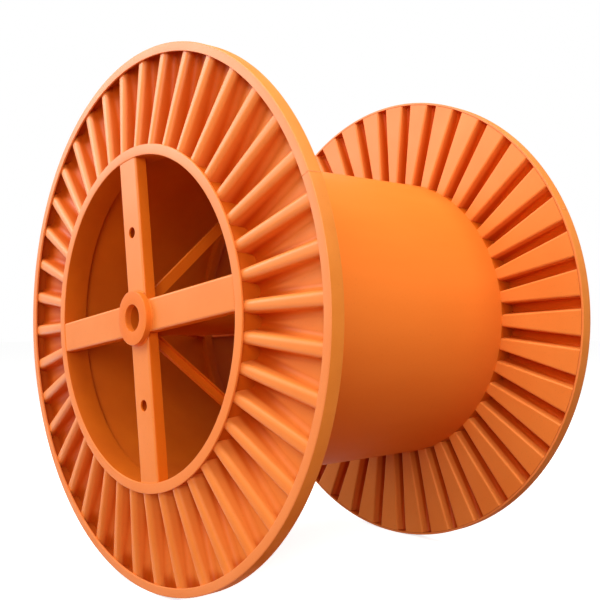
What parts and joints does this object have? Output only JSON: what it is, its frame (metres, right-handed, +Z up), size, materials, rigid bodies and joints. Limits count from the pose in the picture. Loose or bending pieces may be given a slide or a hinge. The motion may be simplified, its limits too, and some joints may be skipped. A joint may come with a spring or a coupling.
{
  "type": "corrugated cable bobbin",
  "caption": "Empty steel cable bobbin: ribbed sheet flanges with angle rims on a hollow barrel, a channel-arm cross with a bored hub in each end.",
  "frame": {"origin": "on the floor under the middle of the barrel, at the bottom centre of the bounding box", "axes": "+Z up, Y along the reel's axis with the near flange at -Y, +X to the right seen from the near end"},
  "size_m": [1.9998, 1.494, 1.9998],
  "materials": {
    "arm_paint": "satin orange paint",
    "barrel_paint": "satin orange paint",
    "collar_paint": "satin orange paint",
    "disc_paint": "satin orange paint",
    "hub_paint": "satin orange paint",
    "inner_paint": "satin orange paint",
    "rim_paint": "satin orange paint"
  },
  "bodies": {
    "root": {"barrel_shell": "barrel_paint", "mid_stiffening_ring": "inner_paint", "axle_tube": "inner_paint", "near_rim_angle": "rim_paint", "near_corrugated_disc": "disc_paint", "near_collar_ring": "collar_paint", "near_hub_disc": "hub_paint", "near_arm_right": "arm_paint", "near_brace_right": "inner_paint", "near_arm_top": "arm_paint", "near_brace_top": "inner_paint", "near_arm_left": "arm_paint", "near_brace_left": "inner_paint", "near_arm_bottom": "arm_paint", "near_brace_bottom": "inner_paint", "far_rim_angle": "rim_paint", "far_corrugated_disc": "disc_paint", "far_collar_ring": "collar_paint", "far_hub_disc": "hub_paint", "far_arm_right": "arm_paint", "far_brace_right": "inner_paint", "far_arm_top": "arm_paint", "far_brace_top": "inner_paint", "far_arm_left": "arm_paint", "far_brace_left": "inner_paint", "far_arm_bottom": "arm_paint", "far_brace_bottom": "inner_paint"}
  },
  "joints": []
}
